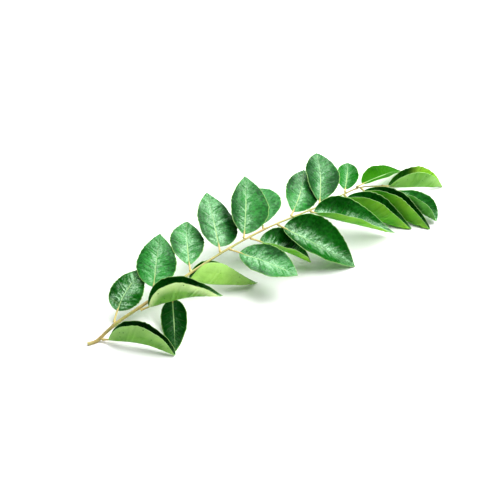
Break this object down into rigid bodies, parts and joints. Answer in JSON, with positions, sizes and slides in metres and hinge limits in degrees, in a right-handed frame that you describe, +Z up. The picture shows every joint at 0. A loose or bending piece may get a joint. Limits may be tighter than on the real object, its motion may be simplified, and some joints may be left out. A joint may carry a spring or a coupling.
{
  "type": "curry leaf sprig",
  "caption": "Cut sprig of fresh curry leaf lying down: an arched straw-coloured stalk with glossy green leaflets in two rows, some folded along the midrib.",
  "frame": {"origin": "middle of the sprig's outline on the surface that it lies on", "axes": "+X along the stalk from its cut end to the last leaflet, +Z up, +Y to the left of the stalk"},
  "size_m": [0.2601, 0.0811, 0.036],
  "materials": {
    "stalk": "satin, straw-coloured, browner at the cut end",
    "leaf": "glossy dark green above, paler and matte below",
    "young_leaf": "satin mid green above, pale yellow-green below"
  },
  "bodies": {
    "root": {"rachis": "stalk", "leaflet_left_1": "leaf", "leaflet_left_2": "leaf", "leaflet_left_3": "leaf", "leaflet_left_4": "leaf", "leaflet_left_5": "leaf", "leaflet_left_6": "leaf", "leaflet_left_7": "leaf", "leaflet_left_8": "leaf", "leaflet_left_9": "leaf", "leaflet_left_10": "young_leaf", "leaflet_right_1": "young_leaf", "leaflet_right_2": "young_leaf", "leaflet_right_3": "leaf", "leaflet_right_4": "young_leaf", "leaflet_right_5": "leaf", "leaflet_right_6": "leaf", "leaflet_right_7": "leaf", "leaflet_right_8": "leaf", "leaflet_right_9": "young_leaf", "leaflet_right_10": "young_leaf", "leaflet_right_11": "leaf", "leaflet_end": "young_leaf"}
  },
  "joints": []
}
